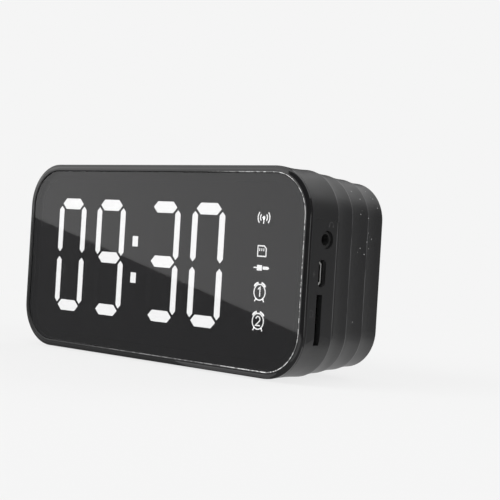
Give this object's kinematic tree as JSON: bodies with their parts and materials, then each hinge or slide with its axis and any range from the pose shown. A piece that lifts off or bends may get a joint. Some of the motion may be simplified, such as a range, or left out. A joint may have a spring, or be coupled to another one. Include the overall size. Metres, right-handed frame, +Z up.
{
  "type": "alarm clock speaker",
  "caption": "Rounded box clock with a lit digit display behind a dark window, top keys, side sockets and loudspeakers behind a rear grille.",
  "frame": {"origin": "centre of the base rectangle, on the surface that the pads stand on", "axes": "+X right as seen from the front, +Y from the display towards the back, +Z up"},
  "size_m": [0.14, 0.045, 0.0686],
  "materials": {
    "basket_steel": "pressed steel",
    "battery_wrap": "silver laminated pouch",
    "black_film": "black printed film",
    "black_tape": "black foam tape",
    "board_green": "green solder resist",
    "cap_paper": "pressed paper cap",
    "capacitor_sleeve": "dark sleeve",
    "chip_black": "black moulded chips",
    "coil_copper": "enamelled copper winding",
    "cone_paper": "pressed paper cone",
    "dark_bars": "smoke-coloured bars, not lit",
    "gasket_foam": "foam ring",
    "gloss_black": "glossy black moulded frame",
    "grille_black": "black painted sheet",
    "key_black": "satin black keys",
    "lamp_yellow": "small white and yellow lamps",
    "lens_tint": "smoked transparent window",
    "lit_bars": "white translucent bars, lit",
    "magnet_nickel": "nickel plated magnet",
    "milky_sheet": "milky light spreader",
    "pad_rubber": "black rubber pads",
    "plunger_black": "dark plungers",
    "satin_black": "finely textured black case",
    "screw_black": "black oxide screws",
    "socket_black": "black moulded socket",
    "socket_steel": "tinned sheet steel",
    "surround_rubber": "soft rolled edge",
    "switch_black": "black switch bodies",
    "white_plastic": "white moulded light block",
    "zinc_steel": "zinc plated steel"
  },
  "bodies": {
    "case": {"audio_jack": "socket_black", "battery_pack": "battery_wrap", "battery_tape": "black_tape", "board_capacitors": "capacitor_sleeve", "board_chips": "chip_black", "card_socket": "socket_steel", "diffuser_sheet": "milky_sheet", "display_lens": "lens_tint", "driver_basket_left": "basket_steel", "driver_basket_right": "basket_steel", "driver_gasket_left": "gasket_foam", "driver_gasket_right": "gasket_foam", "driver_magnet_left": "magnet_nickel", "driver_magnet_right": "magnet_nickel", "driver_pole_left": "zinc_steel", "driver_pole_right": "zinc_steel", "driver_surround_left": "surround_rubber", "driver_surround_right": "surround_rubber", "driver_yoke_left": "zinc_steel", "driver_yoke_right": "zinc_steel", "feet_front": "pad_rubber", "feet_rear": "pad_rubber", "front_bezel": "gloss_black", "key_board": "board_green", "key_switches": "switch_black", "lens_tape": "black_tape", "lit_segments": "lit_bars", "main_board": "board_green", "main_housing": "satin_black", "rear_cover": "satin_black", "rear_cover_screws": "screw_black", "segment_leds": "lamp_yellow", "segment_mask": "black_film", "segment_reflector": "white_plastic", "speaker_grille": "grille_black", "unlit_segments": "dark_bars", "usb_socket": "socket_steel", "usb_tongue": "socket_black"},
    "key_mode": {"key_mode": "key_black", "plunger_mode": "plunger_black"},
    "key_previous": {"key_previous": "key_black", "plunger_previous": "plunger_black"},
    "key_play": {"key_play": "key_black", "plunger_play": "plunger_black"},
    "key_next": {"key_next": "key_black", "plunger_next": "plunger_black"},
    "key_power": {"key_power": "key_black", "plunger_power": "plunger_black"},
    "cone_left": {"driver_cone_left": "cone_paper", "dust_cap_left": "cap_paper", "voice_coil_left": "coil_copper"},
    "cone_right": {"driver_cone_right": "cone_paper", "dust_cap_right": "cap_paper", "voice_coil_right": "coil_copper"}
  },
  "joints": [
    {"name": "press_mode", "type": "slide", "parent": "case", "child": "key_mode", "axis": [0, 0, -1], "range_m": [0, 0.0005], "stiffness_N_per_m": 1500},
    {"name": "press_previous", "type": "slide", "parent": "case", "child": "key_previous", "axis": [0, 0, -1], "range_m": [0, 0.0005], "stiffness_N_per_m": 1500},
    {"name": "press_play", "type": "slide", "parent": "case", "child": "key_play", "axis": [0, 0, -1], "range_m": [0, 0.0005], "stiffness_N_per_m": 1500},
    {"name": "press_next", "type": "slide", "parent": "case", "child": "key_next", "axis": [0, 0, -1], "range_m": [0, 0.0005], "stiffness_N_per_m": 1500},
    {"name": "press_power", "type": "slide", "parent": "case", "child": "key_power", "axis": [0, 0, -1], "range_m": [0, 0.0005], "stiffness_N_per_m": 1500},
    {"name": "cone_left_stroke", "type": "slide", "parent": "case", "child": "cone_left", "axis": [0, 1, 0], "range_m": [-0.0006, 0.0006], "stiffness_N_per_m": 600, "deforming": ["driver_surround_left"]},
    {"name": "cone_right_stroke", "type": "slide", "parent": "case", "child": "cone_right", "axis": [0, 1, 0], "range_m": [-0.0006, 0.0006], "stiffness_N_per_m": 600, "deforming": ["driver_surround_right"]}
  ]
}
